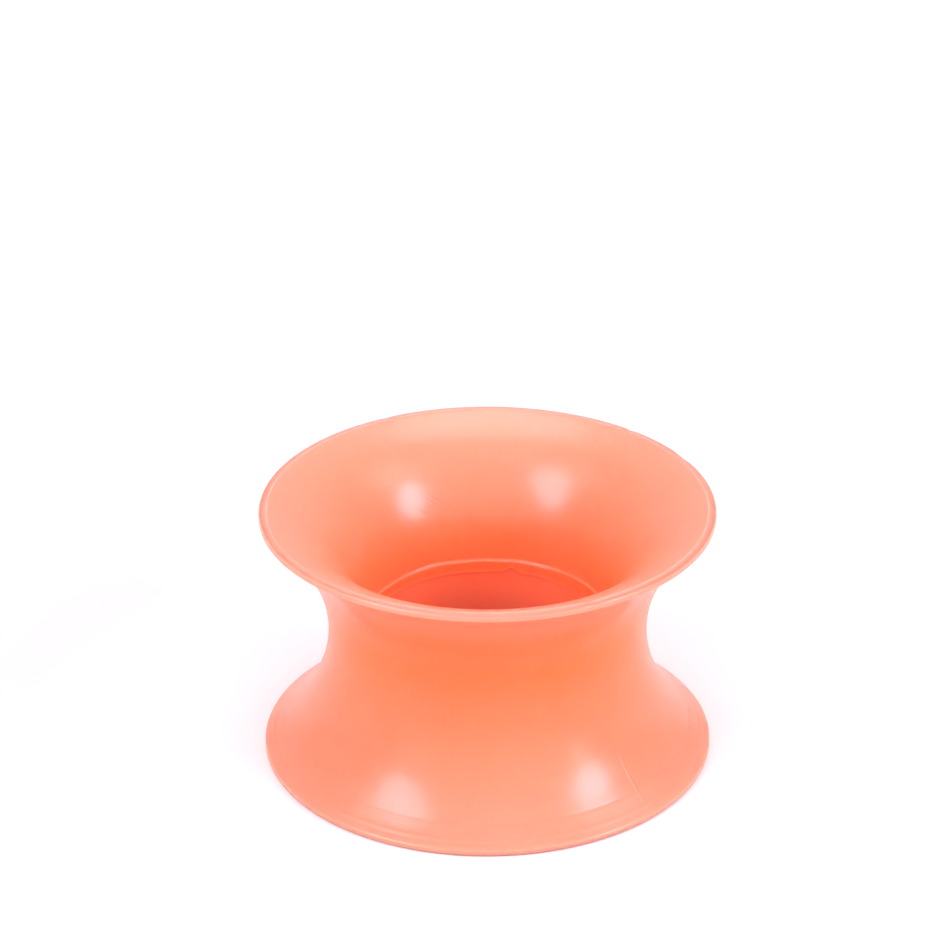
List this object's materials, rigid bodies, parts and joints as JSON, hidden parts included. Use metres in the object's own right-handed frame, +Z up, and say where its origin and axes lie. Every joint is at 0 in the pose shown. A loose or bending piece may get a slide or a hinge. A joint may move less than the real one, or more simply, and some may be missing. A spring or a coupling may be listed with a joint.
{
  "type": "ear tunnel",
  "caption": "Soft translucent ear tunnel: a concave waist that holds a stretched lobe, wide thin-lipped flares and a trumpet-shaped bore right through.",
  "frame": {"origin": "centre of the lower lip's end face, on the surface that the tunnel stands on", "axes": "+Z up along the axis of the bore; the tunnel is a body of revolution about it, and the same both ways up"},
  "size_m": [0.017, 0.017, 0.01],
  "materials": {
    "silicone": "smooth satin, translucent coral, paler where the wall thins towards the lips"
  },
  "bodies": {
    "root": {"tunnel": "silicone"}
  },
  "joints": []
}
